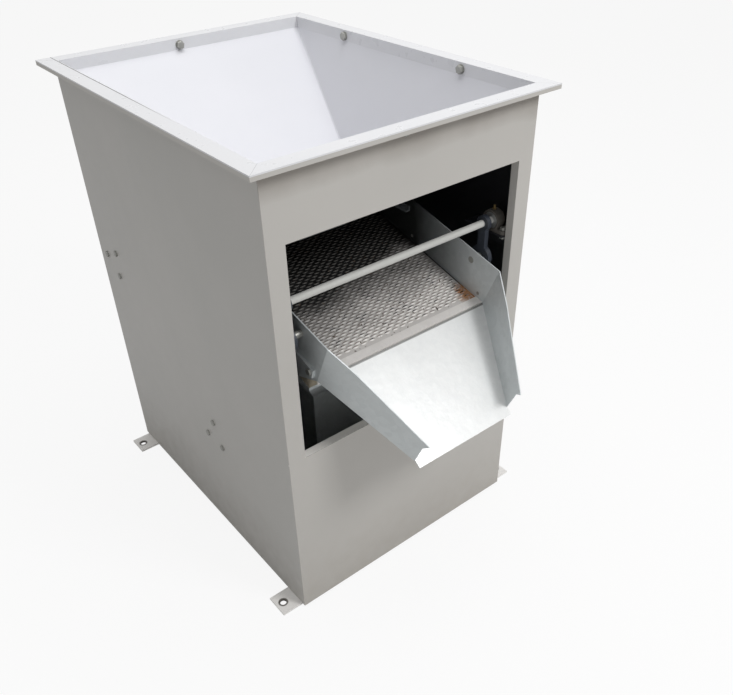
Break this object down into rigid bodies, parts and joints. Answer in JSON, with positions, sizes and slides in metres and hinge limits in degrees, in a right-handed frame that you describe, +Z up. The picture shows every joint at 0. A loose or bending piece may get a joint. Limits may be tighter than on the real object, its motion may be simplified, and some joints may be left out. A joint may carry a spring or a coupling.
{
  "type": "destoner",
  "caption": "Small grain destoner: a grey sheet steel cabinet with a wedge hopper on top and a sloping fish-scale deck that shakes over a fan, with a front spout.",
  "frame": {"origin": "on the floor, in the middle of the four foot bolt holes", "axes": "+X to the right seen from the spout, +Y to the rear, +Z up"},
  "size_m": [0.58, 0.8311, 0.826],
  "materials": {
    "cabinet_paint": "semi-gloss warm light grey",
    "galvanised": "galvanised sheet",
    "bright_steel": "ground steel",
    "dark_screen": "worn dark steel",
    "zinc_fastener": "zinc plated",
    "cast_iron": "painted casting",
    "black_paint": "semi-gloss black",
    "bearing_steel": "polished",
    "rubber": "matt black",
    "cloth": "coated canvas",
    "motor_paint": "painted dark blue-grey",
    "terminal_plastic": "matt black"
  },
  "bodies": {
    "cabinet": {"left_side_panel": "cabinet_paint", "right_side_panel": "cabinet_paint", "front_panel": "cabinet_paint", "rear_panel": "cabinet_paint", "base_frame": "black_paint", "mounting_feet": "cabinet_paint", "top_flange": "cabinet_paint", "hopper_sheets": "cabinet_paint", "hopper_frame": "cabinet_paint", "hopper_collar_bolts": "zinc_fastener", "gate_guides": "galvanised", "air_sleeve": "cloth", "air_plenum": "galvanised", "fan_scroll": "galvanised", "fan_side_left": "galvanised", "fan_side_right": "galvanised", "fan_bearing_left": "bearing_steel", "fan_bearing_right": "bearing_steel", "fan_belt": "rubber", "eccentric_bearing_left": "bearing_steel", "eccentric_bearing_right": "bearing_steel", "eccentric_belt": "rubber", "bearing_brackets": "black_paint", "rocker_bearing_left": "cast_iron", "rocker_bearing_right": "cast_iron", "rocker_bearing_inserts": "bearing_steel", "rocker_bearing_bolts": "zinc_fastener", "wall_bearing_bolts": "zinc_fastener", "motor_body": "motor_paint", "motor_plate": "black_paint", "motor_terminal_box": "terminal_plastic"},
    "feed_gate": {"feed_gate": "galvanised"},
    "deck": {"deck_side_left": "galvanised", "deck_side_right": "galvanised", "fish_scale_screen": "dark_screen", "screen_support_bars": "dark_screen", "deck_lip": "galvanised", "spout_floor": "galvanised", "deck_rail_left": "galvanised", "deck_rail_right": "galvanised", "deck_rail_bolts": "zinc_fastener", "deck_rear_wall": "galvanised", "stone_spout": "galvanised", "deck_air_box": "galvanised", "deck_pins": "zinc_fastener"},
    "rocker": {"rocker_shaft": "bright_steel", "hanger_arms": "black_paint"},
    "motor_rotor": {"motor_shaft": "bright_steel", "motor_pulley": "cast_iron"},
    "fan_wheel": {"fan_shaft": "bright_steel", "fan_rotor": "black_paint", "fan_pulley": "cast_iron"},
    "eccentric_drive": {"eccentric_shaft": "bright_steel", "eccentric_hubs": "bright_steel", "eccentric_pulley": "cast_iron"},
    "left_rod": {"connecting_rod_left": "cast_iron", "rod_bush_left": "rubber"},
    "right_rod": {"connecting_rod_right": "cast_iron", "rod_bush_right": "rubber"}
  },
  "joints": [
    {"name": "gate_slide", "type": "slide", "parent": "cabinet", "child": "feed_gate", "axis": [0, -1, 0], "range_m": [0, 0.055]},
    {"name": "deck_shake", "type": "slide", "parent": "cabinet", "child": "deck", "axis": [0, 1, 0], "range_m": [-0.003, 0.003], "deforming": ["air_sleeve"]},
    {"name": "rocker_swing", "type": "hinge", "parent": "cabinet", "child": "rocker", "pos_m": [0, -0.27301, 0.59901], "axis": [1, 0, 0], "range_deg": [-2.9, 2.9]},
    {"name": "motor_spin", "type": "hinge", "parent": "cabinet", "child": "motor_rotor", "pos_m": [0, 0.19, 0.092], "axis": [1, 0, 0], "continuous": true},
    {"name": "fan_spin", "type": "hinge", "parent": "cabinet", "child": "fan_wheel", "pos_m": [0, -0.062, 0.244], "axis": [1, 0, 0], "continuous": true},
    {"name": "eccentric_spin", "type": "hinge", "parent": "cabinet", "child": "eccentric_drive", "pos_m": [0, 0.25704, 0.47207], "axis": [1, 0, 0], "continuous": true},
    {"name": "left_rod_spin", "type": "hinge", "parent": "eccentric_drive", "child": "left_rod", "pos_m": [-0.194, 0.25704, 0.47507], "axis": [1, 0, 0], "continuous": true, "deforming": ["rod_bush_left"]},
    {"name": "right_rod_spin", "type": "hinge", "parent": "eccentric_drive", "child": "right_rod", "pos_m": [0.194, 0.25704, 0.47507], "axis": [1, 0, 0], "continuous": true, "deforming": ["rod_bush_right"]}
  ],
  "couplings": [
    {"joint": "rocker_swing", "follows": "deck_shake", "rad_per_m": 16.393},
    {"joint": "fan_spin", "follows": "motor_spin", "ratio": 1.25},
    {"joint": "eccentric_spin", "follows": "motor_spin", "ratio": 0.42308},
    {"joint": "left_rod_spin", "follows": "motor_spin", "ratio": -0.42308},
    {"joint": "right_rod_spin", "follows": "motor_spin", "ratio": -0.42308}
  ]
}
